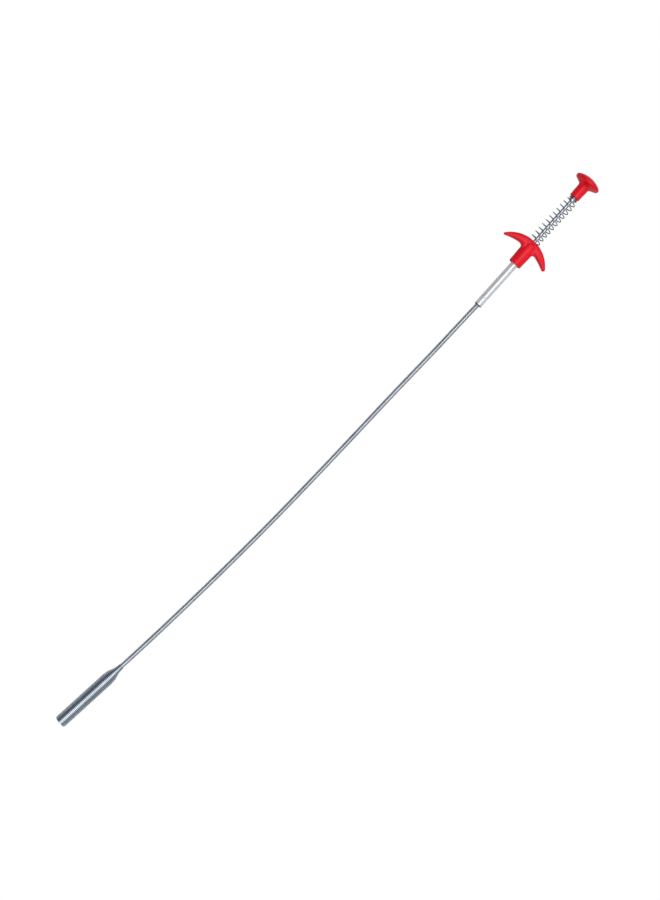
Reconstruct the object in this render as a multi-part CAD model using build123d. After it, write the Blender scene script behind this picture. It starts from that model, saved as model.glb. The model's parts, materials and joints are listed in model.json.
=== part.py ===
from build123d import *
import math
import os

# Flexible claw grabber for drains. It lies on a flat surface as it would on a bench:
# +X runs along the handle towards the thumb button, +Z is up, millimetres throughout.
# A red button pushes a rod and a cable, and four spring claws come out of the head.

# a cutter runs this far past the face that it opens
CLEAR = 1.0

# ---- handle, measured along its axis from the open lower end of the tube ----
TUBE_R = 3.175
TUBE_BORE_R = 2.475
TUBE_TOP = 60.8
STAKE_AT = 8.0
STAKE_ANGLE = 17.0
STAKE_DEPTH = 0.3
STAKE_R = 1.0
STAKE_WIDTH = 2.6
STAKE_COUNT = 4

BOSS_END = 43.8
BOSS_END_R = 5.35
BOSS_ROOT_R = 5.95
BOSS_ROUND = 0.7
BOSS_ROOT = 61.2
BOSS_TOP = 65.2
CROWN = 68.2
CROWN_R = 28.4
PALM_R = 48.0
WEB_THICKNESS = 7.5
# the crescent sits slightly askew on its boss, degrees
WING_LEAN = 2.7
WING_TIP_R = 1.25
WING_HALF_THICK_MIDDLE = 5.0
WING_HALF_THICK_TIP = 2.6
WING_SPAN = 46.0
WING_EDGE_ROUND = 1.1
ENTRY_R = 3.9
ENTRY_DEPTH = 0.8
SPRING_SEAT_R = 5.0
SPRING_SEAT = 67.75
ROD_HOLE_R = 1.8

ROD_R = 1.5
ROD_BOTTOM = 45.6
ROD_TOP = 128.0
BUSH_BOTTOM = 52.8
BUSH_BORE_R = 1.55
CRIMP_BOTTOM = 38.6
CRIMP_TOP = 52.7
CRIMP_R = 2.1
CRIMP_CHAMFER = 0.4
FERRULE_BOTTOM = 3.0
SHAFT_TOP = 10.0

BUTTON_BOTTOM = 115.2
BUTTON_TOP = 135.5
STEM_R_BOTTOM = 4.35
STEM_R_TOP = 4.7
CAP_R = 11.25
CAP_RIM = 131.2
STEM_ROUND = 0.5
# the button's outline: distance along the axis, and distance from it
STEM_SHOULDER = (125.9, STEM_R_TOP)
FLARE_MIDDLE = (127.1, 5.3)
FLARE_TOP = (128.0, 6.8)
RIM_BOTTOM = (129.3, 9.9)
RIM_TOP = (132.7, 10.4)
DOME_MIDDLE = (134.7, 5.6)
COLLAR_BOTTOM = 111.4
COLLAR_R = 2.8
COLLAR_CHAMFER = 0.5

SPRING_WIRE_R = 0.4
SPRING_R = 4.45
SPRING_TURNS = 11

# ---- flexible shaft and inner cable ----
SHAFT_R = 2.0
SHAFT_BORE_R = 1.2
CABLE_R = 0.75
CABLE_TOP = 45.4

# ---- head, measured along its axis back from the open mouth ----
HEAD_R = 5.2
HEAD_BORE_R = 4.0
HEAD_STRAIGHT = 50.0
HEAD_SHOULDER = 56.8
HEAD_SHOULDER_R = 4.35
HEAD_LENGTH = 60.2
NECK_R = 2.35
CLAW_FERRULE_R = 2.4
CLAW_FERRULE_FRONT = 32.0
CLAW_FERRULE_LENGTH = 9.0
CLAW_FERRULE_BORE = 4.0
CLAW_FERRULE_CHAMFER = 0.5
CLAW_WIRE_R = 0.42
CLAW_COUNT = 4
CLAW_FIRST_ANGLE = 45.0
# a claw's wire: distance forward of its root, and distance from the head's axis
CLAW_SHAPE = [(0.0, 1.2), (19.0, 1.3), (26.5, 2.1), (28.8, 0.9)]
CLAW_BEND_RADII = [8.0, 1.2]

# ---- where things lie ----
TUBE_END_X = 168.0
TUBE_END_Y = -6.0
# the handle rests on the rim of its button and on the lower end of its tube
TILT = math.degrees(math.atan2(CAP_R - TUBE_R, CAP_RIM))
TUBE_END_Z = TUBE_R * math.cos(math.radians(TILT))
HEAD_YAW = 6.2

HANDLE = Location((TUBE_END_X, TUBE_END_Y, TUBE_END_Z), (0, -TILT, 0))
NECK_POINT = (-242.0, 16.3, HEAD_R)

# each corner's arc takes up this share of the shorter run beside it
CORNER_SHARE = 0.45

# The free route of the shaft from the tube's end to the neck of the head. It drops to the
# floor, lies there in a slight bow and rises again to the thicker head.
ROUTE = [
    (150.0, -5.3, 2.07),
    (118.0, -4.0, 2.0),
    (70.0, -1.7, 2.0),
    (20.0, -0.5, 2.0),
    (-34.0, 1.2, 2.0),
    (-86.0, 3.4, 2.0),
    (-134.0, 6.4, 2.0),
    (-178.0, 9.7, 2.9),
    (-218.0, 13.7, 5.2),
]


def along_head(distance):
    """The point at a distance forward of the neck, on the head's axis."""
    yaw = math.radians(HEAD_YAW)
    x, y, z = NECK_POINT
    return (x - distance * math.cos(yaw), y + distance * math.sin(yaw), z)


HEAD = Location(along_head(HEAD_LENGTH), (0, 0, 180 - HEAD_YAW))


def along_handle(distance):
    """The point on the handle's axis at a distance from the tube's lower end."""
    return tuple((HANDLE * Pos(distance, 0, 0)).position)


SHAFT_POINTS = [along_handle(SHAFT_TOP)] + ROUTE + [NECK_POINT]


def turned(points):
    """A solid of revolution about X from points (distance along X, radius)."""
    return revolve(make_face(Polyline(*points, close=True)), Axis.X)


def sleeve(start, end, bore, outer, bevel=0.0):
    """A plain ring from start to end along X, with its outer edges bevelled."""
    outline = [(start, bore), (start, outer - bevel)]
    if bevel:
        outline += [(start + bevel, outer), (end - bevel, outer)]
    outline += [(end, outer - bevel), (end, bore)]
    return turned(outline)


def thumb_button():
    """A mushroom button: a round stem that flares into a domed cap with a rolled rim."""
    stem_side = (BUTTON_BOTTOM + STEM_ROUND, STEM_R_BOTTOM)
    stem_edge = (BUTTON_BOTTOM, STEM_R_BOTTOM - STEM_ROUND)
    outline = [
        Line((ROD_TOP, 0), (BUTTON_TOP, 0)),
        ThreePointArc((BUTTON_TOP, 0), DOME_MIDDLE, RIM_TOP),
        ThreePointArc(RIM_TOP, (CAP_RIM, CAP_R), RIM_BOTTOM),
        Line(RIM_BOTTOM, FLARE_TOP),
        ThreePointArc(FLARE_TOP, FLARE_MIDDLE, STEM_SHOULDER),
        Line(STEM_SHOULDER, stem_side),
        Line(stem_side, stem_edge),
        Line(stem_edge, (BUTTON_BOTTOM, ROD_R)),
        Line((BUTTON_BOTTOM, ROD_R), (ROD_TOP, ROD_R)),
        Line((ROD_TOP, ROD_R), (ROD_TOP, 0)),
    ]
    return revolve(make_face(outline), Axis.X)


def grip_wings():
    """The crescent that two fingers pull on, thinner towards its tips."""
    outer = Pos(CROWN - CROWN_R, 0) * Circle(CROWN_R)
    palm = Pos(CROWN - WEB_THICKNESS - PALM_R, 0) * Circle(PALM_R)
    crescent = outer - palm
    plan = fillet(crescent.vertices(), WING_TIP_R)
    blank = extrude(plan, WING_HALF_THICK_MIDDLE, both=True)
    side, middle, tip = WING_SPAN / 2, WING_HALF_THICK_MIDDLE, WING_HALF_THICK_TIP
    front = make_face(
        [
            ThreePointArc((-side, tip), (0, middle), (side, tip)),
            Line((side, tip), (side, -tip)),
            ThreePointArc((side, -tip), (0, -middle), (-side, -tip)),
            Line((-side, -tip), (-side, tip)),
        ]
    )
    taper = extrude(Plane.YZ.offset(CROWN / 2) * front, CROWN / 2 + CLEAR)
    wings = blank & taper
    rims = wings.edges().filter_by(lambda e: e.length > WING_SPAN / 2)
    return Pos(BOSS_ROOT, 0) * Rot(0, 0, -WING_LEAN) * Pos(-BOSS_ROOT, 0) * fillet(rims, WING_EDGE_ROUND)


def finger_grip():
    """The crescent with its round boss, bored for the tube below and for the rod above."""
    boss = turned(
        [
            (BOSS_END, 0),
            (BOSS_END, BOSS_END_R - BOSS_ROUND),
            (BOSS_END + BOSS_ROUND, BOSS_END_R),
            (BOSS_ROOT, BOSS_ROOT_R),
            (BOSS_TOP, WING_HALF_THICK_MIDDLE),
            (BOSS_TOP, 0),
        ]
    )
    tube_entry = [
        (BOSS_END, 0),
        (BOSS_END, ENTRY_R),
        (BOSS_END + ENTRY_DEPTH, TUBE_R),
        (BOSS_END + ENTRY_DEPTH, 0),
    ]
    grip = grip_wings() + boss
    grip -= sleeve(SPRING_SEAT, CROWN + CLEAR, 0, SPRING_SEAT_R)
    grip -= sleeve(TUBE_TOP - CLEAR, CROWN + CLEAR, 0, ROD_HOLE_R)
    grip -= sleeve(BOSS_END - CLEAR, TUBE_TOP, 0, TUBE_R)
    return grip - turned(tube_entry)


def handle_tube():
    """A plain tube with staking marks that hold the ferrule inside its lower end."""
    tube = sleeve(0, TUBE_TOP, TUBE_BORE_R, TUBE_R)
    groove = extrude(Plane.XZ * Circle(STAKE_R), STAKE_WIDTH / 2, both=True)
    mark = Pos(STAKE_AT, 0, TUBE_R + STAKE_R - STAKE_DEPTH) * groove
    for i in range(STAKE_COUNT):
        tube -= Rot(STAKE_ANGLE + i * 360 / STAKE_COUNT, 0, 0) * mark
    return tube


def guide_bush():
    return sleeve(BUSH_BOTTOM, TUBE_TOP, BUSH_BORE_R, TUBE_BORE_R)


def casing_ferrule():
    return sleeve(FERRULE_BOTTOM, SHAFT_TOP, SHAFT_R, TUBE_BORE_R)


def plunger_rod():
    return sleeve(ROD_BOTTOM, ROD_TOP, 0, ROD_R)


def rod_collar():
    return sleeve(COLLAR_BOTTOM, BUTTON_BOTTOM, ROD_R, COLLAR_R, COLLAR_CHAMFER)


def cable_crimp():
    """A sleeve whose upper half grips the rod and whose lower half grips the cable."""
    body = sleeve(CRIMP_BOTTOM, CRIMP_TOP, 0, CRIMP_R, CRIMP_CHAMFER)
    body -= sleeve(ROD_BOTTOM, CRIMP_TOP + CLEAR, 0, ROD_R)
    return body - sleeve(CRIMP_BOTTOM - CLEAR, ROD_BOTTOM + CLEAR, 0, CABLE_R)


def return_spring():
    """An open coil spring from the grip's crown to the underside of the button."""
    start = SPRING_SEAT + SPRING_WIRE_R
    height = BUTTON_BOTTOM - SPRING_WIRE_R - start
    coil = Helix(height / SPRING_TURNS, height, SPRING_R, lefthand=True)
    section = Plane(coil @ 0, z_dir=coil % 0) * Circle(SPRING_WIRE_R)
    return Pos(start, 0, 0) * Rot(0, 90, 0) * sweep(section, coil, is_frenet=True)


def head_coil():
    """The thick coil at the working end, as a tapered tube of the same size."""
    return turned(
        [
            (0, HEAD_BORE_R),
            (0, HEAD_R),
            (-HEAD_STRAIGHT, HEAD_R),
            (-HEAD_SHOULDER, HEAD_SHOULDER_R),
            (-HEAD_LENGTH, NECK_R),
            (-HEAD_LENGTH, SHAFT_BORE_R),
            (-HEAD_STRAIGHT, HEAD_BORE_R),
        ]
    )


def claw_ferrule():
    """The crimped sleeve at the cable's front end, solid where it holds the claws."""
    front = -CLAW_FERRULE_FRONT
    back = front - CLAW_FERRULE_LENGTH
    body = sleeve(back, front, 0, CLAW_FERRULE_R, CLAW_FERRULE_CHAMFER)
    return body - sleeve(back - CLEAR, back + CLAW_FERRULE_BORE, 0, CABLE_R)


def claw():
    """One spring wire claw in the XZ plane, with a round root and an inward hook."""
    root = -CLAW_FERRULE_FRONT + CLAW_WIRE_R
    points = [(root + forward, 0, out) for forward, out in CLAW_SHAPE]
    path = FilletPolyline(*points, radius=CLAW_BEND_RADII)
    wire = sweep(Plane(path @ 0, z_dir=path % 0) * Circle(CLAW_WIRE_R), path)
    return wire + Pos(*points[0]) * Sphere(CLAW_WIRE_R)


def corner_radii(points):
    """The largest arcs that the runs beside each corner leave room for."""
    radii = []
    for before, corner, after in zip(points, points[1:], points[2:]):
        one = Vector(*corner) - Vector(*before)
        two = Vector(*after) - Vector(*corner)
        half_turn = math.radians(one.get_angle(two) / 2)
        radii.append(CORNER_SHARE * min(one.length, two.length) / math.tan(half_turn))
    return radii


def swept(path, outer, bore=0.0):
    """A round bar or tube along a path."""
    start = Plane(path @ 0, z_dir=path % 0)
    bar = sweep(start * Circle(outer), path)
    if bore:
        bar -= sweep(start * Circle(bore), path)
    return bar


def flexible_shaft():
    """The close-wound casing, as a tube of the same size along its free route."""
    radii = corner_radii(SHAFT_POINTS)
    print("shaft corner radii, mm:", [round(r) for r in radii])
    path = FilletPolyline(*SHAFT_POINTS, radius=radii)
    tube = swept(path, SHAFT_R, SHAFT_BORE_R)
    expected = math.pi * (SHAFT_R**2 - SHAFT_BORE_R**2) * path.length
    print(f"shaft length {path.length:.1f} mm, volume {tube.volume:.0f} of {expected:.0f} mm3")
    return tube


def inner_cable():
    """The cable inside the casing, from the crimp on the rod to the claw ferrule."""
    ferrule_back = CLAW_FERRULE_FRONT + CLAW_FERRULE_LENGTH
    reach = HEAD_LENGTH - ferrule_back + CLAW_FERRULE_BORE
    points = [along_handle(CABLE_TOP)] + SHAFT_POINTS[:-1] + [along_head(reach)]
    return swept(FilletPolyline(*points, radius=corner_radii(points)), CABLE_R)


def build():
    """Every sub-part by name, in place."""
    parts = {
        "flexible_shaft": flexible_shaft(),
        "inner_cable": inner_cable(),
        "head_coil": HEAD * head_coil(),
        "claw_ferrule": HEAD * claw_ferrule(),
    }
    on_handle = [
        thumb_button,
        plunger_rod,
        rod_collar,
        return_spring,
        finger_grip,
        guide_bush,
        handle_tube,
        casing_ferrule,
        cable_crimp,
    ]
    for make in on_handle:
        parts[make.__name__] = HANDLE * make()
    for i in range(CLAW_COUNT):
        angle = CLAW_FIRST_ANGLE + i * 360 / CLAW_COUNT
        parts[f"claw_{i + 1}"] = HEAD * Rot(angle, 0, 0) * claw()
    return parts


os.makedirs("parts", exist_ok=True)
for name, shape in build().items():
    export_step(shape, f"parts/{name}.step")
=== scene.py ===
import json
import math

import bmesh
import bpy
import numpy as np
from mathutils import Matrix, Vector


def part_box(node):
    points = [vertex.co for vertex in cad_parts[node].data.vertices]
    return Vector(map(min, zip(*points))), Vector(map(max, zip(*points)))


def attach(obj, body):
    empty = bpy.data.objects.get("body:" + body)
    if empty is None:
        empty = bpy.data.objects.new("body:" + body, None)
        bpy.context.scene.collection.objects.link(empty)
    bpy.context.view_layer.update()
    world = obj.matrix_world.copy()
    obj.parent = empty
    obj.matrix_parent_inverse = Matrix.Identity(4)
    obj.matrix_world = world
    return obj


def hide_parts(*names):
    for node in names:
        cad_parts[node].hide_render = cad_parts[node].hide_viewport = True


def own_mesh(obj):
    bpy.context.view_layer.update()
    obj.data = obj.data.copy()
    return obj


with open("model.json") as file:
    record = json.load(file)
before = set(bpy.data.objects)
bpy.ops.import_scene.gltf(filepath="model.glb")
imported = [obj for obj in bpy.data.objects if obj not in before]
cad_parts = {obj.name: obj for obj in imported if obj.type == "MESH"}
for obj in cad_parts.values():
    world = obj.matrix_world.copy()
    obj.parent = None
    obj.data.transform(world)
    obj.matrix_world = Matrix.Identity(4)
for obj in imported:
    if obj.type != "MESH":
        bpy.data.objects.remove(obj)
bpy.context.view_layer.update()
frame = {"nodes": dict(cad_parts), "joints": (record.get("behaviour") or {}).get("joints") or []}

# Looks of the drain claw grabber. Shapes are in millimetres, in the frame of the handle or of
# the head: X runs along its axis, and the mesh is scaled to metres when a piece is made.
MM = 0.001

# ---- the handle: distances from the open lower end of its tube ----
TUBE_LENGTH = 60.8
TUBE_R = 3.175
TUBE_BORE_R = 2.475
# corners: rolled in at the lower end and broken elsewhere, with a ring of painted shade at the lower end,
# painted near black for the dark gap at the open end
TUBE_ROLL = 0.6
TUBE_EDGE = 0.22
TUBE_END_SHADE = 0.85
STAKE_AT = 8.0
STAKE_ANGLE = 17.0
STAKE_DEPTH = 0.34
STAKE_WIDTH = 2.6
STAKE_LENGTH = 1.1
STAKE_REACH = 1.6
STAKE_COUNT = 4

BOSS_END = 43.8
BOSS_END_R = 5.45
BOSS_ROOT = 61.2
BOSS_ROOT_R = 6.05
BOSS_SHOULDER = (64.2, 5.5)
BOSS_TOP = 65.6
BOSS_TOP_R = 3.95
BOSS_ROUND = 0.7
CROWN = 68.2
CROWN_R = 28.4
WEB = 8.2
PALM_R = 48.0
WING_LEAN = 2.7
WING_TIPS_AT = (-20.75, 22.0)
WING_RINGS = 121
WING_TIP_R = 1.25
WING_THICK_MIDDLE = 5.0
WING_THICK_TIP = 2.5
ARMPIT_R = 4.0
ENTRY_R = 4.35
ENTRY_DEPTH = 1.5
GRIP_VOXEL = 0.28
GRIP_SOFTENING = 9
ROD_HOLE_R = 1.8
SPRING_SEAT = 67.75
SPRING_SEAT_R = 5.0

ROD_R = 1.5
ROD_TOP = 128.0
BUTTON_BOTTOM = 115.2
BUTTON_TOP = 135.5
STEM_R_BOTTOM = 4.35
STEM_ROUND = 0.5
STEM_SHOULDER = (125.9, 4.7)
FLARE_MIDDLE = (127.1, 5.3)
FLARE_TOP = (128.0, 6.8)
RIM_BOTTOM = (129.3, 9.9)
RIM_EDGE = (131.2, 11.25)
RIM_TOP = (132.7, 10.4)
DOME_MIDDLE = (134.7, 5.6)

SPRING_WIRE_R = 0.43
SPRING_SEATED_R = 4.5
SPRING_R = 4.85
SPRING_TOP_R = 3.28
# turns: open ones, closed ones above them, where they start to narrow and for how long
SPRING_ACTIVE = 11.0
SPRING_CLOSED_TOP = 1.6
SPRING_NARROWS = 9.8
SPRING_NARROWING = 1.8
SPRING_CLOSED_PITCH = 0.82
SPRING_START = 234.0
SPRING_STEPS = 44
# how far aside the coil stands once off its seat, and how much it leans back by its top
SPRING_ASIDE = 0.5
SPRING_LEAN = 0.8
# a share of the pitch, and how far in and out the turns wander
SPRING_UNEVEN = 0.05
SPRING_WANDER = 0.05

# ---- the flexible shaft and its cable ----
SHAFT_TOP = 10.0
SHAFT_R = 2.0
SHAFT_WIRE_R = 0.31
SHAFT_PITCH = 0.63
SHAFT_STEPS = 16
CABLE_R = 0.75
CABLE_TOP = 45.4
CABLE_LAY = 7.0
CABLE_STEPS = 14
STRANDS = 6
# gaps and overlaps of the cable's lengths, out of sight in the casing, head and ferrule
CABLE_GAP = 0.05
CABLE_PAST_FERRULE = 4.0
CABLE_OVERLAP = 5.0
CABLE_IN_FERRULE = 3.9

# ---- the head: distances back from its open mouth ----
HEAD_LENGTH = 60.2
HEAD_WIRE_R = 0.6
HEAD_PITCH = 1.235
HEAD_STEPS = 40
TAIL_WIRE_R = 0.25
# the coil's outer radius at distances back from the mouth, then where its tail ends on the shaft
HEAD_SHOULDER = [(0.0, 4.7), (1.6, 5.2), (50.5, 5.2), (55.0, 4.7), (57.5, 3.9), (59.5, 3.1), (62.0, 2.55)]
HEAD_TAIL = (66.0, 2.2)
# samples along the outline, and how many are averaged to round its corners
OUTLINE_SAMPLES = 4000
SHOULDER_SOFT = 121
FERRULE_FRONT = 32.0
FERRULE_BACK = 41.0
CLAW_WIRE_R = 0.42
CLAW_COUNT = 4
CLAW_STEP = 0.9
CLAW_ANGLE = 45.0
# a claw's wire: distance forward of its root, distance from the axis, length of its bend
CLAW_SHAPE = [(0.0, 1.2, 0.0), (19.0, 1.3, 0.8), (26.5, 2.1, 1.0), (28.8, 0.9, 0.0)]

# ---- the shaft's free route, in metres: the CAD source's points, some moved aside by under 1 mm ----
ROUTE = [
    (0.150, -0.0053, 0.00207),
    (0.118, -0.0046, 0.0020),
    (0.070, -0.0026, 0.0020),
    (0.020, -0.0013, 0.0020),
    (-0.034, 0.0005, 0.0020),
    (-0.086, 0.0029, 0.0020),
    (-0.134, 0.0061, 0.0020),
    (-0.178, 0.0097, 0.0029),
    (-0.218, 0.0137, 0.0052),
]
NECK_POINT = (-0.242, 0.0163, 0.0052)

# ---- the camera: above the middle, leaning a little, and rolled to lay the tool across the picture ----
CAMERA_DISTANCE = 1.35
CAMERA_OVER = (0.0023, 0.0052)
CAMERA_ROLL = -48.2
CAMERA_LEAN = (-1.5, 6.0)
VIEW_TALL = 0.7217
SENSOR = 36.0

# ---- the floor, and the lamp, which is in metres and watts ----
FLOOR_HALF = 4000.0
LAMP_PLACE = (0.1, -0.1, 2.2)
LAMP_SIZE = 0.5
LAMP_WATTS = 1.6


# ================= places =================

def middle(node):
    """The middle of a CAD node's box."""
    low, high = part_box(node)
    return (low + high) / 2


def placed(origin, axis):
    """The frame whose X runs along an axis and whose Z leans upward."""
    side = Vector((0, 0, 1)).cross(axis).normalized()
    turn = Matrix((axis, side, axis.cross(side))).transposed()
    return Matrix.Translation(origin) @ turn.to_4x4()


JOINTS = {joint["name"]: joint for joint in frame["joints"]}
HANDLE_AXIS = -Vector(JOINTS["plunger_slide"]["axis"]).normalized()
HEAD_AXIS = Vector(JOINTS["claw_slide"]["axis"]).normalized()
STROKE = JOINTS["plunger_slide"]["range_m"][1] / MM
TUBE_END = middle("handle_tube") - HANDLE_AXIS * (TUBE_LENGTH / 2 * MM)
HANDLE = placed(TUBE_END, HANDLE_AXIS)
HEAD = placed(Vector(NECK_POINT) + HEAD_AXIS * (HEAD_LENGTH * MM), HEAD_AXIS)
WORLD = Matrix.Identity(4)


# ================= mesh helpers =================

def unit(rows):
    """Each row of an array, made one unit long."""
    return rows / np.linalg.norm(rows, axis=1)[:, None]


def new_piece(name, points, faces, place, attributes=None):
    """A mesh piece from points in millimetres in a placed frame."""
    mesh = bpy.data.meshes.new(name)
    mesh.from_pydata((np.array(points) * MM).tolist(), [], faces)
    for key, values in (attributes or {}).items():
        mesh.attributes.new(key, "FLOAT", "POINT").data.foreach_set("value", values)
    piece = bpy.data.objects.new(name, mesh)
    piece.matrix_world = place
    bpy.context.scene.collection.objects.link(piece)
    return piece


def tidy_mesh(piece, sharp=38.0):
    """Merges doubled points, turns faces outward and shades them smoothly."""
    shape = bmesh.new()
    shape.from_mesh(piece.data)
    bmesh.ops.remove_doubles(shape, verts=shape.verts, dist=1e-7)
    bmesh.ops.dissolve_degenerate(shape, edges=shape.edges, dist=1e-8)
    bmesh.ops.recalc_face_normals(shape, faces=shape.faces)
    shape.to_mesh(piece.data)
    shape.free()
    piece.data.shade_smooth()
    piece.data.set_sharp_from_angle(angle=math.radians(sharp))


def dress(piece, body, material):
    """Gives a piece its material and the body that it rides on."""
    piece.data.materials.clear()
    piece.data.materials.append(material)
    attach(piece, body)
    return piece


def skin(rings):
    """Points and faces of a bar from its rings of points, closed at both ends."""
    count, sides = rings.shape[:2]
    step = np.arange(count - 1)[:, None] * sides
    here = np.arange(sides)[None]
    after = (here + 1) % sides
    walls = np.stack([step + here, step + after, step + sides + after, step + sides + here], axis=2)
    faces = walls.reshape(-1, 4).tolist()
    faces.append(list(reversed(range(sides))))
    faces.append(list(range((count - 1) * sides, count * sides)))
    return rings.reshape(-1, 3), faces


# ends of a wire: distance in from the end and size, in wire radii
CUT_END = [(0.0, 0.72), (0.28, 1.0)]
ROUND_END = [(0.0, 0.12), (0.08, 0.4), (0.3, 0.72), (0.6, 0.92), (1.0, 1.0)]


def wire(line, outward, radius, sides, end=CUT_END, squareness=2.0):
    """A wire along a line, round or drawn a little square. Its points say how far out they are."""
    ahead = unit(np.gradient(line, axis=0))
    across = unit(outward - (outward * ahead).sum(1)[:, None] * ahead)
    other = np.cross(ahead, across)
    radius = np.broadcast_to(radius, len(line))
    middles = [line[0] + ahead[0] * depth * radius[0] for depth, _ in end]
    middles += list(line[1:-1])
    middles += [line[-1] - ahead[-1] * depth * radius[-1] for depth, _ in reversed(end)]
    sizes = [size for _, size in end]
    sizes = np.array(sizes + [1.0] * (len(line) - 2) + sizes[::-1])
    first, last = [0] * len(end), [len(line) - 1] * len(end)
    index = np.array(first + list(range(1, len(line) - 1)) + last)
    turn = np.arange(sides) * 2 * math.pi / sides
    out, aside = (np.sign(part) * np.abs(part) ** (2 / squareness) for part in (np.cos(turn), np.sin(turn)))
    ring = out[None, :, None] * across[index][:, None] + aside[None, :, None] * other[index][:, None]
    rings = np.array(middles)[:, None] + ring * (sizes * radius[index])[:, None, None]
    points, faces = skin(rings)
    return points, faces, np.tile(out, len(index))


def wound(place, ahead, angle, radius):
    """A line wound round another line, and the directions away from that line."""
    side = unit(np.cross([0.0, 0.0, 1.0], ahead))
    up = np.cross(ahead, side)
    outward = np.cos(angle)[:, None] * side + np.sin(angle)[:, None] * up
    return place + np.broadcast_to(radius, angle.shape)[:, None] * outward, outward


def on_axis(distances):
    """Points along X and the direction of X at each."""
    place = np.zeros((len(distances), 3))
    place[:, 0] = distances
    return place, np.tile([1.0, 0.0, 0.0], (len(distances), 1))


def smooth_step(value):
    """0 below zero, 1 above one, and a smooth rise between."""
    held = np.clip(value, 0.0, 1.0)
    return held * held * (3 - 2 * held)


def arc(start, through, end, steps=12):
    """Points of the circular arc from start through a middle point to end."""
    (ax, ay), (bx, by), (cx, cy) = start, through, end
    double = 2 * (ax * (by - cy) + bx * (cy - ay) + cx * (ay - by))
    a, b, c = ax * ax + ay * ay, bx * bx + by * by, cx * cx + cy * cy
    x = (a * (by - cy) + b * (cy - ay) + c * (ay - by)) / double
    y = (a * (cx - bx) + b * (ax - cx) + c * (bx - ax)) / double
    first = math.atan2(ay - y, ax - x)
    turn = math.remainder(math.atan2(cy - y, cx - x) - first, 2 * math.pi)
    reach = math.hypot(ax - x, ay - y)
    angles = [first + turn * i / steps for i in range(steps + 1)]
    return [(x + reach * math.cos(t), y + reach * math.sin(t)) for t in angles]


def bend(before, corner, after, reach, steps=5):
    """A small curve in place of a corner, from one side of it to the other."""
    here = Vector(corner)
    start, end = (here + (Vector(to) - here).normalized() * reach for to in (before, after))
    shares = [k / steps for k in range(steps + 1)]
    return [tuple(start.lerp(here, t).lerp(here.lerp(end, t), t)) for t in shares]


def lathe(outline, sides):
    """Points and faces of a solid of revolution about X, from a closed outline."""
    turn = np.arange(sides) * 2 * math.pi / sides
    rows = np.array(list(outline) + [outline[0]])
    along = np.repeat(rows[:, 0:1], sides, axis=1)
    rings = np.stack([along, rows[:, 1:] * np.cos(turn), rows[:, 1:] * np.sin(turn)], axis=2)
    points, faces = skin(rings)
    return points, faces[:-2]


def turned(name, outline, place, sides):
    """A piece that is an outline turned about the X axis of its place."""
    piece = new_piece(name, *lathe(outline, sides), place)
    tidy_mesh(piece)
    return piece


def apply_modifiers(piece):
    """Puts the result of a piece's modifiers into its mesh."""
    solved = piece.evaluated_get(bpy.context.evaluated_depsgraph_get())
    mesh = bpy.data.meshes.new_from_object(solved)
    piece.modifiers.clear()
    piece.data = mesh


def route_line(points):
    """Points read along the smooth line that has these control points, in millimetres."""
    curve = bpy.data.curves.new("route", "CURVE")
    curve.dimensions = "3D"
    spline = curve.splines.new("NURBS")
    spline.points.add(len(points) - 1)
    for knot, place in zip(spline.points, points):
        knot.co = (*place, 1.0)
    spline.order_u = 3
    spline.use_endpoint_u = True
    spline.resolution_u = 48
    holder = bpy.data.objects.new("route", curve)
    mesh = bpy.data.meshes.new_from_object(holder)
    line = np.array([vertex.co for vertex in mesh.vertices], float) / MM
    bpy.data.meshes.remove(mesh)
    bpy.data.curves.remove(curve)
    return line


def lengths_of(line):
    """How far along a line each of its points is."""
    return np.concatenate([[0.0], np.cumsum(np.linalg.norm(np.diff(line, axis=0), axis=1))])


def walk(line, distances):
    """Places and directions at distances along a line."""
    lengths = lengths_of(line)
    heading = np.gradient(line, axis=0)
    place = [np.interp(distances, lengths, line[:, k]) for k in range(3)]
    ahead = [np.interp(distances, lengths, heading[:, k]) for k in range(3)]
    return np.stack(place, axis=1), unit(np.stack(ahead, axis=1))


# ================= material helpers =================

def add(tree, kind, inputs=None, **settings):
    """A shader node with its inputs linked or set."""
    node = tree.nodes.new(kind)
    for key, value in settings.items():
        setattr(node, key, value)
    for key, value in (inputs or {}).items():
        if isinstance(value, bpy.types.NodeSocket):
            tree.links.new(value, node.inputs[key])
        else:
            node.inputs[key].default_value = value
    return node


def new_material(name):
    """A material, its node tree and its shader."""
    material = bpy.data.materials.new(name)
    material.use_nodes = True
    tree = material.node_tree
    return material, tree, tree.nodes["Principled BSDF"]


def object_place(tree, scale=(1.0, 1.0, 1.0)):
    """The place on the piece, in its own frame, stretched."""
    where = add(tree, "ShaderNodeTexCoord").outputs["Object"]
    return add(tree, "ShaderNodeMapping", {"Vector": where, "Scale": scale}).outputs["Vector"]


def noise(tree, place, scale, detail=3.0):
    """Noise with so many features to the metre."""
    return add(
        tree, "ShaderNodeTexNoise", {"Vector": place, "Scale": scale, "Detail": detail}
    ).outputs["Fac"]


def mapped(tree, value, low, high, start=0.3, end=0.7):
    """value from start to end turned into low to high."""
    return add(
        tree,
        "ShaderNodeMapRange",
        {"Value": value, "From Min": start, "From Max": end, "To Min": low, "To Max": high},
    ).outputs["Result"]


def mixed(tree, factor, one, two):
    """Colour one where the factor is 0 and colour two where it is 1."""
    mix = add(tree, "ShaderNodeMix", data_type="RGBA")
    tree.links.new(factor, mix.inputs[0])
    for socket, value in ((mix.inputs[6], one), (mix.inputs[7], two)):
        if isinstance(value, bpy.types.NodeSocket):
            tree.links.new(value, socket)
        else:
            socket.default_value = (*value, 1.0)
    return mix.outputs[2]


def maths(tree, operation, one, two=0.0):
    """One operation on two values or node outputs."""
    node = add(tree, "ShaderNodeMath", operation=operation)
    for socket, value in zip(node.inputs, (one, two)):
        if isinstance(value, bpy.types.NodeSocket):
            tree.links.new(value, socket)
        else:
            socket.default_value = value
    return node.outputs[0]


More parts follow.
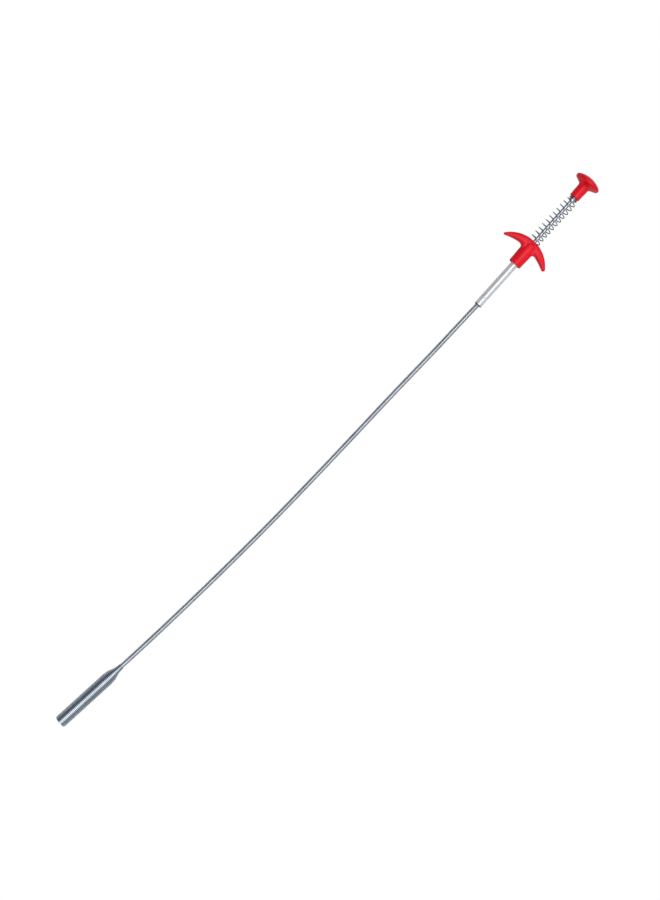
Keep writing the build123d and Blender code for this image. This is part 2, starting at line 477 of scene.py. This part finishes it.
def bumped(tree, shader, height, distance, strength=1.0):
    """Raises the surface by a height from 0 to 1, where 1 stands for a distance in metres."""
    bump = add(tree, "ShaderNodeBump", {"Height": height, "Distance": distance, "Strength": strength})
    tree.links.new(bump.outputs["Normal"], shader.inputs["Normal"])


def metal(name, bright, dull, smooth, rough, grain=(1.0, 1.0, 1.0), satin=0.0, end_shade=0.0):
    """A metal of uneven colour and gloss. Satin makes it paler; the last argument paints its first few mm
    near black, as painted shade at an open end.
    """
    material, tree, shader = new_material(name)
    place = object_place(tree)
    drawn = noise(tree, object_place(tree, grain), 900.0, 4.0)
    cloud = noise(tree, place, 160.0, 5.0)
    shader.inputs["Metallic"].default_value = 1.0 - satin
    colour = mixed(tree, mapped(tree, cloud, 0.0, 1.0), bright, dull)
    # painted shade: the first mm at the open end are painted near black, standing in for the shade in the
    # gap round the shaft
    if end_shade:
        along = add(tree, "ShaderNodeSeparateXYZ", {"Vector": place}).outputs["X"]
        end = mapped(tree, along, 1.0, 0.0, 0.6 * end_shade * MM, end_shade * MM)
        colour = mixed(tree, end, colour, (0.02, 0.022, 0.024))
    tree.links.new(colour, shader.inputs["Base Color"])
    worn = maths(tree, "MULTIPLY_ADD", drawn, 0.5)
    tree.links.new(maths(tree, "MULTIPLY", cloud, 0.5), worn.node.inputs[2])
    tree.links.new(mapped(tree, worn, smooth, rough, 0.35, 0.65), shader.inputs["Roughness"])
    bumped(tree, shader, drawn, 6e-6)
    return material


def wound_metal(name, crest, groove, smooth, rough):
    """Coil wire: its own colour and glossier where it faces outward; toward the grooves between turns it is
    darker, which is painted shade, and rougher, and random patches darken it too.
    """
    material, tree, shader = new_material(name)
    place = object_place(tree)
    outer = add(tree, "ShaderNodeAttribute", attribute_name="outer").outputs["Fac"]
    patches = noise(tree, place, 70.0, 4.0)
    grain = noise(tree, place, 2600.0, 3.0)
    # painted shade: the colour darkens where the wire faces away from the outside, into the grooves between
    # turns; the patch noise adds random tone on top
    groove_shade_and_patches = maths(tree, "SUBTRACT", mapped(tree, outer, 1.0, 0.0, -0.1, 0.85), 0.12)
    groove_shade_and_patches = maths(tree, "ADD", groove_shade_and_patches, mapped(tree, patches, 0.0, 0.34))
    shader.inputs["Metallic"].default_value = 1.0
    colour = mixed(tree, mapped(tree, groove_shade_and_patches, 0.0, 1.0, 0.0, 1.0), crest, groove)
    tree.links.new(colour, shader.inputs["Base Color"])
    gloss = mapped(tree, groove_shade_and_patches, smooth, rough, 0.0, 1.0)
    gloss = maths(tree, "ADD", gloss, mapped(tree, grain, -0.03, 0.05))
    tree.links.new(gloss, shader.inputs["Roughness"])
    bumped(tree, shader, grain, 8e-6)
    return material


def red_plastic(name, seam):
    """Glossy moulded red plastic with faint flow marks, handling scuffs and a parting line."""
    material, tree, shader = new_material(name)
    place = object_place(tree)
    cloud = noise(tree, place, 90.0, 3.0)
    peel = noise(tree, place, 1500.0, 2.0)
    scuff = noise(tree, object_place(tree, (1.0, 3.0, 3.0)), 420.0, 6.0)
    edge = add(tree, "ShaderNodeNewGeometry").outputs["Pointiness"]
    worn = mapped(tree, edge, 0.0, 1.0, 0.54, 0.66)
    body = mixed(tree, mapped(tree, cloud, 0.0, 1.0), (0.84, 0.004, 0.018), (0.72, 0.003, 0.014))
    colour = mixed(tree, maths(tree, "MULTIPLY", worn, 0.35), body, (0.90, 0.03, 0.05))
    tree.links.new(colour, shader.inputs["Base Color"])
    gloss = mapped(tree, scuff, 0.3, 0.48, 0.4, 0.75)
    gloss = maths(tree, "ADD", gloss, maths(tree, "MULTIPLY", worn, 0.12))
    tree.links.new(gloss, shader.inputs["Roughness"])
    shader.inputs["Specular IOR Level"].default_value = 0.24
    height = maths(tree, "MULTIPLY", peel, 0.1)
    if seam:
        off_plane = add(tree, "ShaderNodeSeparateXYZ", {"Vector": place}).outputs["Z"]
        line = mapped(tree, maths(tree, "ABSOLUTE", off_plane), 1.0, 0.0, 0.00006, 0.00022)
        height = maths(tree, "ADD", height, line)
    bumped(tree, shader, height, 4e-5, 0.8)
    return material


def make_materials():
    """Every finish, by name."""
    along = (0.04, 1.0, 1.0)
    return {
        "grip": red_plastic("red_grip_plastic", seam=True),
        "button": red_plastic("red_button_plastic", seam=False),
        "tube": metal(
            "bright_tube_plate",
            (0.75, 0.76, 0.78),
            (0.68, 0.70, 0.73),
            0.22,
            0.34,
            along,
            satin=0.60,
            end_shade=TUBE_END_SHADE,
        ),
        "rod": metal("bright_drawn_rod", (0.58, 0.60, 0.66), (0.46, 0.49, 0.56), 0.2, 0.32, along),
        "spring": wound_metal("spring_wire_steel", (0.29, 0.32, 0.36), (0.17, 0.19, 0.22), 0.2, 0.32),
        "shaft": wound_metal("shaft_wire_zinc", (0.64, 0.68, 0.73), (0.15, 0.17, 0.21), 0.18, 0.32),
        "head": wound_metal("head_wire_zinc", (0.49, 0.54, 0.605), (0.205, 0.24, 0.30), 0.18, 0.3),
        "cable": wound_metal("cable_strand_steel", (0.60, 0.60, 0.60), (0.25, 0.25, 0.25), 0.25, 0.45),
        "claw": metal("claw_wire_steel", (0.74, 0.76, 0.79), (0.56, 0.58, 0.61), 0.14, 0.3, along),
        "crimp": metal("crimp_sleeve_steel", (0.62, 0.63, 0.65), (0.48, 0.49, 0.51), 0.25, 0.42),
        "brass": metal("turned_brass", (0.82, 0.64, 0.30), (0.66, 0.48, 0.20), 0.2, 0.36, (3.0, 1.0, 1.0)),
    }


# ================= handle =================

def thumb_button():
    """The mushroom button: a straight stem that flares into a thin domed cap."""
    outline = arc((BUTTON_TOP, 0.0), DOME_MIDDLE, RIM_TOP, steps=22)
    outline += arc(RIM_TOP, RIM_EDGE, RIM_BOTTOM, steps=16)[1:]
    outline += arc(FLARE_TOP, FLARE_MIDDLE, STEM_SHOULDER)
    outline += bend(STEM_SHOULDER, (BUTTON_BOTTOM, STEM_R_BOTTOM), (BUTTON_BOTTOM, ROD_R), STEM_ROUND)
    outline += [(BUTTON_BOTTOM, ROD_R), (ROD_TOP, ROD_R), (ROD_TOP, 0.0)]
    return turned("thumb_button_moulding", outline, HANDLE, sides=112)


def wing_edges(centre, normal):
    """How far the crescent's outer and inner edges are from a point, along a direction."""
    reach = []
    for circle_at, radius, way in ((CROWN - CROWN_R, CROWN_R, 1), (CROWN - WEB - PALM_R, PALM_R, -1)):
        offset = centre - np.array([circle_at, 0.0])
        lean = offset @ normal
        reach.append(way * (math.sqrt(lean * lean - offset @ offset + radius * radius) - lean))
    return reach


def wing_station(across):
    """The crescent's middle line at a distance across: place, directions along and out, half width."""
    def middle_line(y):
        outer = CROWN - CROWN_R + math.sqrt(CROWN_R**2 - y * y)
        inner = CROWN - WEB - PALM_R + math.sqrt(PALM_R**2 - y * y)
        return np.array([(outer + inner) / 2, y])
    small = 0.01
    ahead = middle_line(across + small) - middle_line(across - small)
    ahead = ahead / np.linalg.norm(ahead)
    normal = np.array([ahead[1], -ahead[0]])
    centre = middle_line(across)
    outer, inner = wing_edges(centre, normal)
    # a fillet of its own between each wing and the boss
    from_armpit = BOSS_ROOT_R + ARMPIT_R - abs(across)
    if from_armpit > 0:
        inner += ARMPIT_R - math.sqrt(ARMPIT_R**2 - min(from_armpit, ARMPIT_R) ** 2)
    return centre + normal * (outer - inner) / 2, ahead, normal, (outer + inner) / 2


def wing_section(centre, normal, half_width, half_thick, sides=56, squareness=2.5):
    """A rounded section of the crescent, between an ellipse and a rectangle."""
    turn = np.arange(sides) * 2 * math.pi / sides
    wide = np.sign(np.cos(turn)) * np.abs(np.cos(turn)) ** (2 / squareness) * half_width
    thick = np.sign(np.sin(turn)) * np.abs(np.sin(turn)) ** (2 / squareness) * half_thick
    plan = centre[None] + wide[:, None] * normal[None]
    return np.column_stack([plan, thick])


def wing_tip(tip):
    """The shrinking sections that round off one end of the crescent, from its wide one outward."""
    side = math.copysign(1.0, tip)
    centre, ahead, normal, half_width = wing_station(tip)
    rings = []
    for turn in np.radians([22, 42, 60, 75, 86]):
        end = centre + side * ahead * WING_TIP_R * math.sin(turn)
        size = math.cos(turn)
        rings.append(wing_section(end, normal, half_width * size, WING_THICK_TIP * size**0.8))
    return rings


def grip_wings():
    """The crescent, lofted from tip to tip."""
    def thickness(y):
        tip = WING_TIPS_AT[1] if y > 0 else WING_TIPS_AT[0]
        return WING_THICK_MIDDLE - (WING_THICK_MIDDLE - WING_THICK_TIP) * (y / tip) ** 2
    rings = wing_tip(WING_TIPS_AT[0])[::-1]
    for y in np.linspace(*WING_TIPS_AT, WING_RINGS):
        centre, _, normal, half_width = wing_station(y)
        rings.append(wing_section(centre, normal, half_width, thickness(y)))
    rings += wing_tip(WING_TIPS_AT[1])
    points, faces = skin(np.array(rings))
    lean = Matrix.Rotation(-math.radians(WING_LEAN), 3, "Z")
    pivot = np.array([BOSS_ROOT, 0.0, 0.0])
    return (points - pivot) @ np.array(lean).T + pivot, faces


def grip_blank():
    """The crescent and its boss as one closed surface with softly blended joins."""
    root = (BOSS_ROOT, BOSS_ROOT_R)
    boss = [(BOSS_END, 0.0)] + bend((BOSS_END, 0.0), (BOSS_END, BOSS_END_R), root, BOSS_ROUND)
    boss += arc(root, BOSS_SHOULDER, (BOSS_TOP, BOSS_TOP_R)) + [(BOSS_TOP, 0.0)]
    boss_points, boss_faces = lathe(boss, sides=96)
    wing_points, wing_faces = grip_wings()
    shifted = [[i + len(boss_points) for i in face] for face in wing_faces]
    points = np.concatenate([boss_points, wing_points])
    piece = new_piece("finger_grip_moulding", points, boss_faces + shifted, HANDLE)
    tidy_mesh(piece)
    remesh = piece.modifiers.new("one surface", "REMESH")
    remesh.mode = "VOXEL"
    remesh.voxel_size = GRIP_VOXEL * MM
    soften = piece.modifiers.new("soft joins", "SMOOTH")
    soften.factor = 0.5
    soften.iterations = GRIP_SOFTENING
    apply_modifiers(piece)
    return piece


def finger_grip():
    """The grip, bored for the tube and the rod and recessed for the spring's seat."""
    piece = grip_blank()
    slope = (ENTRY_R - TUBE_R) / ENTRY_DEPTH
    past = 1.5
    bore = [
        (BOSS_END - past, 0.0),
        (BOSS_END - past, ENTRY_R + past * slope),
        (BOSS_END + ENTRY_DEPTH, TUBE_R),
        (TUBE_LENGTH, TUBE_R),
        (TUBE_LENGTH, ROD_HOLE_R),
        (SPRING_SEAT, ROD_HOLE_R),
        (SPRING_SEAT, SPRING_SEAT_R),
        (CROWN + past, SPRING_SEAT_R),
        (CROWN + past, 0.0),
    ]
    cutter = turned("bore_cutter", bore, HANDLE, sides=128)
    cut = piece.modifiers.new("bores", "BOOLEAN")
    cut.operation = "DIFFERENCE"
    cut.solver = "EXACT"
    cut.object = cutter
    apply_modifiers(piece)
    bpy.data.objects.remove(cutter)
    piece.data.shade_smooth()
    piece.data.set_sharp_from_angle(angle=math.radians(40))
    return piece


def handle_tube():
    """The plated tube, with the staking dents that hold the ferrule in its lower end."""
    # rings of points, close together round the dents
    rows = np.concatenate(
        [
            np.arange(TUBE_ROLL, STAKE_AT - STAKE_REACH, 1.2),
            np.arange(STAKE_AT - STAKE_REACH, STAKE_AT + STAKE_REACH, 0.16),
            np.arange(STAKE_AT + STAKE_REACH, TUBE_LENGTH - 1.0, 4.0),
        ]
    )
    near, far = (0.0, TUBE_R), (TUBE_LENGTH, TUBE_R)
    near_bore, far_bore = (0.0, TUBE_BORE_R), (TUBE_LENGTH, TUBE_BORE_R)
    outline = bend(near_bore, near, far, TUBE_ROLL) + [(float(x), TUBE_R) for x in rows]
    outline += bend(near, far, far_bore, TUBE_EDGE) + bend(far, far_bore, near_bore, TUBE_EDGE)
    outline += bend(far_bore, near_bore, near, TUBE_EDGE)
    piece = turned("handle_tube_plated", outline, HANDLE, sides=120)
    for vertex in piece.data.vertices:
        x, y, z = (c / MM for c in vertex.co)
        radius = math.hypot(y, z)
        if radius < TUBE_R - 0.1:
            continue
        angle = math.degrees(math.atan2(z, y)) - (90 + STAKE_ANGLE)
        aside = math.remainder(angle, 360 / STAKE_COUNT)
        aside = math.radians(aside) * TUBE_R / (STAKE_WIDTH / 2)
        # a dent is deepest on its middle line and fades out towards its two ends
        depth = STAKE_DEPTH * math.exp(-(((x - STAKE_AT) / (STAKE_LENGTH / 2)) ** 2))
        depth *= float(smooth_step(2.5 * (1.15 - abs(aside))))
        vertex.co.y *= 1 - depth / radius
        vertex.co.z *= 1 - depth / radius
    return piece


def return_spring():
    """The open coil spring, which ends in closed turns that narrow onto the button's collar."""
    turns = SPRING_ACTIVE + SPRING_CLOSED_TOP
    turn = np.linspace(0.0, turns, int(turns * SPRING_STEPS))
    active = 1 - smooth_step((turn - SPRING_ACTIVE + 0.25) / 0.5)
    free = BUTTON_BOTTOM - SPRING_SEAT - 2 * SPRING_WIRE_R
    step = turn[1] - turn[0]
    stretch = (free - SPRING_CLOSED_PITCH * turns) / (active.sum() * step)
    uneven = 1 + SPRING_UNEVEN * np.sin(turn * 1.7 + 0.6)
    pitch = SPRING_CLOSED_PITCH + active * stretch * uneven
    rise = np.concatenate([[0.0], np.cumsum((pitch[1:] + pitch[:-1]) / 2 * step)])
    rise *= free / rise[-1]
    narrows = smooth_step((turn - SPRING_NARROWS) / SPRING_NARROWING)
    radius = SPRING_SEATED_R + (SPRING_R - SPRING_SEATED_R) * smooth_step(turn)
    radius += (SPRING_TOP_R - radius) * narrows + SPRING_WANDER * np.sin(turn * 2.3)
    place, ahead = on_axis(SPRING_SEAT + SPRING_WIRE_R + rise)
    aside = SPRING_ASIDE - SPRING_LEAN * rise / free
    place[:, 1] += aside * smooth_step(turn) * (1 - narrows)
    angle = math.radians(SPRING_START) - turn * 2 * math.pi
    line, outward = wound(place, ahead, angle, radius)
    points, faces, outer = wire(line, outward, SPRING_WIRE_R, sides=12)
    piece = new_piece("return_spring_coil", points, faces, HANDLE, {"outer": outer})
    piece.data.shade_smooth()
    return piece


# ================= shaft, cable and head =================

def shaft_winding(line):
    """The close-wound casing wire, turn beside turn along the route."""
    length = lengths_of(line)[-1]
    distances = np.linspace(0.0, length, int(length / SHAFT_PITCH * SHAFT_STEPS))
    place, ahead = walk(line, distances)
    angle = distances / SHAFT_PITCH * 2 * math.pi
    turned_line, outward = wound(place, ahead, angle, SHAFT_R - SHAFT_WIRE_R)
    points, faces, outer = wire(turned_line, outward, SHAFT_WIRE_R, sides=8, squareness=2.8)
    piece = new_piece("flexible_shaft_winding", points, faces, WORLD, {"outer": outer})
    piece.data.shade_smooth()
    return piece


def head_outline():
    """The head's outer radius and wire radius at points back from its mouth."""
    back = np.linspace(HEAD_WIRE_R, HEAD_TAIL[0], OUTLINE_SAMPLES)
    knots, sizes = np.array(HEAD_SHOULDER + [HEAD_TAIL]).T
    radius = np.interp(back, knots, sizes)
    soft = np.hanning(SHOULDER_SOFT)
    radius = np.convolve(np.pad(radius, SHOULDER_SOFT // 2, "edge"), soft / soft.sum(), "same")
    radius = radius[SHOULDER_SOFT // 2 : SHOULDER_SOFT // 2 + len(back)]
    thin = smooth_step((back - HEAD_LENGTH) / (HEAD_TAIL[0] - HEAD_LENGTH))
    return back, radius, HEAD_WIRE_R + (TAIL_WIRE_R - HEAD_WIRE_R) * thin


def head_winding():
    """The thick coil, which winds down round a shoulder and tails off along the shaft."""
    back, outer_radius, wire_radius = head_outline()
    radius = outer_radius - wire_radius
    pitch = HEAD_PITCH * wire_radius / HEAD_WIRE_R
    turns = np.concatenate([[0.0], np.cumsum(np.hypot(np.diff(back), np.diff(radius)) / pitch[1:])])
    at = np.linspace(0.0, turns[-1], int(turns[-1] * HEAD_STEPS))
    place, ahead = on_axis(-np.interp(at, turns, back))
    line, outward = wound(place, ahead, at * 2 * math.pi, np.interp(at, turns, radius))
    thickness = np.interp(at, turns, wire_radius)
    points, faces, outer = wire(line, outward, thickness, sides=16, squareness=2.8)
    piece = new_piece("head_winding", points, faces, HEAD, {"outer": outer})
    piece.data.shade_smooth()
    return piece


def cable(name, line, place):
    """A length of cable: strands laid round a core wire."""
    length = lengths_of(line)[-1]
    # a core wire and the strands round it lie three across
    strand_r = CABLE_R / 3
    distances = np.linspace(0.0, length, max(12, int(length / CABLE_LAY * CABLE_STEPS)))
    middle_line, ahead = walk(line, distances)
    parts = [wound(middle_line, ahead, np.zeros(len(distances)), 0.0)]
    for i in range(STRANDS):
        angle = (distances / CABLE_LAY + i / STRANDS) * 2 * math.pi
        parts.append(wound(middle_line, ahead, angle, CABLE_R - strand_r))
    points, faces, outer = [], [], []
    for strand, outward in parts:
        some_points, some_faces, some_outer = wire(strand, outward, strand_r, sides=7)
        start = sum(len(p) for p in points)
        points.append(some_points)
        faces += [[i + start for i in face] for face in some_faces]
        outer.append(some_outer)
    piece = new_piece(name, np.concatenate(points), faces, place, {"outer": np.concatenate(outer)})
    piece.data.shade_smooth()
    return piece


def straight(start, end):
    """A straight line along X."""
    return on_axis(np.linspace(start, end, 24))[0]


def claw(number):
    """One spring wire claw with a round tip bent inward."""
    root = -FERRULE_FRONT + CLAW_WIRE_R
    corners = [Vector((root + forward, 0.0, out)) for forward, out, _ in CLAW_SHAPE]
    line = [corners[0]]
    for i in range(1, len(corners) - 1):
        to = [corners[i - 1] - corners[i], corners[i + 1] - corners[i]]
        start, end = (corners[i] + t.normalized() * CLAW_SHAPE[i][2] for t in to)
        count = int((start - line[-1]).length / CLAW_STEP) + 1
        line += [line[-1].lerp(start, (k + 1) / count) for k in range(count)]
        for share in np.linspace(0.0, 1.0, 9)[1:]:
            line.append(start.lerp(corners[i], share).lerp(corners[i].lerp(end, share), share))
    line += [line[-1].lerp(corners[-1], k / 2) for k in (1, 2)]
    line = np.array(line)
    outward = np.tile([0.0, 1.0, 0.0], (len(line), 1))
    points, faces = wire(line, outward, CLAW_WIRE_R, sides=16, end=ROUND_END)[:2]
    turn = Matrix.Rotation(math.radians(CLAW_ANGLE + 360 / CLAW_COUNT * (number - 1)), 4, "X")
    piece = new_piece(f"claw_{number}_wire", points, faces, HEAD @ turn)
    piece.data.shade_smooth()
    return piece


# ================= the whole object =================

def build_handle(finish):
    """The button, grip, tube and spring."""
    for make, nodes, body, slot, look in (
        (thumb_button, "thumb_button", "plunger", "red_plastic", "button"),
        (finger_grip, "finger_grip", "handle", "red_plastic", "grip"),
        (handle_tube, "handle_tube", "handle", "bright_tube", "tube"),
        (return_spring, "return_spring", "handle", "spring_wire", "spring"),
    ):
        piece = dress(make(), body, finish[look])
        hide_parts(nodes)
        if make is return_spring:
            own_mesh(piece)


def build_shaft(finish):
    """The shaft along its route and the head on its end."""
    top = HANDLE @ Vector((SHAFT_TOP * MM, 0, 0))
    line = route_line([tuple(top)] + ROUTE + [NECK_POINT])
    shaft = dress(shaft_winding(line), "handle", finish["shaft"])
    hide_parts("flexible_shaft")
    head = dress(head_winding(), "handle", finish["head"])
    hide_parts("head_coil")
    return line


def build_cable(finish, line):
    """The cable in three lengths: behind the casing, inside it, and on the claw ferrule."""
    behind = SHAFT_TOP + CABLE_GAP
    rear = cable("cable_behind_casing", straight(behind, CABLE_TOP), HANDLE)
    dress(rear, "handle", finish["cable"])
    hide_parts("inner_cable")
    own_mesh(rear)
    into_head = HEAD @ Vector((-(FERRULE_BACK + CABLE_PAST_FERRULE) * MM, 0, 0))
    inside = np.concatenate([line, [np.array(into_head) / MM]])
    middle_part = cable("cable_in_casing", inside, WORLD)
    dress(middle_part, "handle", finish["cable"])
    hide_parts("inner_cable")
    reach = straight(-FERRULE_BACK - STROKE - CABLE_OVERLAP, CABLE_IN_FERRULE - FERRULE_BACK)
    front = cable("cable_at_claws", reach, HEAD)
    dress(front, "claw_carrier", finish["cable"])
    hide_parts("inner_cable")


def build_claws(finish):
    """The claws, each on its own body."""
    for number in range(1, CLAW_COUNT + 1):
        piece = dress(claw(number), f"claw_{number}_body", finish["claw"])
        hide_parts(f"claw_{number}")


def dress_cad_nodes(finish):
    """The CAD nodes whose shapes are right keep them and get better finishes."""
    for node, look in (
        ("plunger_rod", "rod"),
        ("rod_collar", "rod"),
        ("guide_bush", "brass"),
        ("casing_ferrule", "brass"),
        ("cable_crimp", "crimp"),
        ("claw_ferrule", "crimp"),
    ):
        for place in frame["nodes"][node].material_slots:
            place.material = finish[look]


# ================= studio =================

def build_world():
    """A long soft light overhead, dim to both sides and dimmest on +Y, white to the camera."""
    world = bpy.data.worlds.new("studio")
    world.use_nodes = True
    bpy.context.scene.world = world
    tree = world.node_tree
    tree.nodes.clear()
    place = add(tree, "ShaderNodeTexCoord").outputs["Generated"]
    place = add(tree, "ShaderNodeVectorMath", {0: place, 1: (0.25, 1.0, 1.0)}, operation="MULTIPLY")
    place = add(tree, "ShaderNodeVectorMath", {0: place.outputs[0]}, operation="NORMALIZE").outputs[0]
    height = {0: place, 1: (0.0, -0.10, 0.995)}
    height = add(tree, "ShaderNodeVectorMath", height, operation="DOT_PRODUCT").outputs["Value"]
    ramp = add(tree, "ShaderNodeValToRGB", {"Fac": height})
    stops = ramp.color_ramp.elements
    stops[0].position, stops[0].color = 0.78, (0.0, 0.0, 0.0, 1)
    stops[1].position, stops[1].color = 0.985, (1.0, 1.0, 1.0, 1)
    stops.new(0.92).color = (0.40, 0.405, 0.41, 1)
    side = add(tree, "ShaderNodeSeparateXYZ", {"Vector": place}).outputs["Y"]
    fill = mapped(tree, side, 0.46, 0.17, -1.0, 1.0)
    strip = add(tree, "ShaderNodeBackground", {"Color": ramp.outputs["Color"], "Strength": 2.0})
    sides = add(tree, "ShaderNodeBackground", {"Color": (0.90, 0.95, 1.0, 1), "Strength": fill})
    dome = add(tree, "ShaderNodeAddShader", {0: strip.outputs[0], 1: sides.outputs[0]})
    pale = add(tree, "ShaderNodeBackground", {"Color": (1.0, 1.0, 1.0, 1), "Strength": 1.0})
    seen = add(tree, "ShaderNodeLightPath").outputs["Is Camera Ray"]
    mix = add(tree, "ShaderNodeMixShader", {0: seen, 1: dome.outputs[0], 2: pale.outputs[0]})
    add(tree, "ShaderNodeOutputWorld", {"Surface": mix.outputs[0]})


def build_floor():
    """A pale floor that looks white to the camera but throws little light back up."""
    material, tree, shader = new_material("pale_floor")
    mottle = noise(tree, object_place(tree), 3.0)
    colour = mixed(tree, mapped(tree, mottle, 0.0, 1.0), (0.62, 0.62, 0.625), (0.59, 0.59, 0.595))
    tree.links.new(colour, shader.inputs["Base Color"])
    shader.inputs["Roughness"].default_value = 0.9
    shader.inputs["Specular IOR Level"].default_value = 0.1
    seen = add(tree, "ShaderNodeLightPath").outputs["Is Camera Ray"]
    white = add(tree, "ShaderNodeEmission", {"Color": (1.0, 1.0, 1.0, 1), "Strength": 1.02})
    mostly = maths(tree, "MULTIPLY", seen, 0.97)
    mix = add(tree, "ShaderNodeMixShader", {0: mostly, 1: shader.outputs[0], 2: white.outputs[0]})
    tree.links.new(mix.outputs[0], tree.nodes["Material Output"].inputs["Surface"])
    half = FLOOR_HALF
    corners = [(-half, -half, 0), (half, -half, 0), (half, half, 0), (-half, half, 0)]
    floor = new_piece("floor", corners, [(0, 1, 2, 3)], WORLD)
    floor.data.materials.append(material)


def build_lamp():
    """A square soft light overhead, aimed at the middle of the tool."""
    light = bpy.data.lights.new("overhead", "AREA")
    light.size = LAMP_SIZE
    light.energy = LAMP_WATTS
    holder = bpy.data.objects.new("overhead", light)
    holder.location = LAMP_PLACE
    holder.rotation_euler = (-Vector(LAMP_PLACE)).to_track_quat("-Z", "Y").to_euler()
    bpy.context.scene.collection.objects.link(holder)


def build_camera():
    """A close camera over the tool's middle, whose picture takes in VIEW_TALL metres."""
    camera = bpy.data.cameras.new("camera")
    camera.sensor_width = SENSOR
    camera.lens = SENSOR * CAMERA_DISTANCE / VIEW_TALL
    holder = bpy.data.objects.new("camera", camera)
    roll = math.radians(CAMERA_ROLL)
    toward = Vector([math.tan(math.radians(lean)) for lean in CAMERA_LEAN] + [1.0]).normalized()
    right = Vector((-math.sin(roll), math.cos(roll), 0.0)).cross(toward).normalized()
    turn = Matrix((right, toward.cross(right), toward)).transposed()
    eye = Vector((*CAMERA_OVER, 0.0)) + toward * CAMERA_DISTANCE
    holder.matrix_world = Matrix.Translation(eye) @ turn.to_4x4()
    bpy.context.scene.collection.objects.link(holder)
    bpy.context.scene.camera = holder


def build_studio():
    """Plain soft light, a pale floor and the camera."""
    build_world()
    build_floor()
    build_lamp()
    build_camera()
    bpy.context.scene.view_settings.view_transform = "Standard"


finishes = make_materials()
build_studio()
shaft_line = build_shaft(finishes)
build_handle(finishes)
build_cable(finishes, shaft_line)
build_claws(finishes)
dress_cad_nodes(finishes)
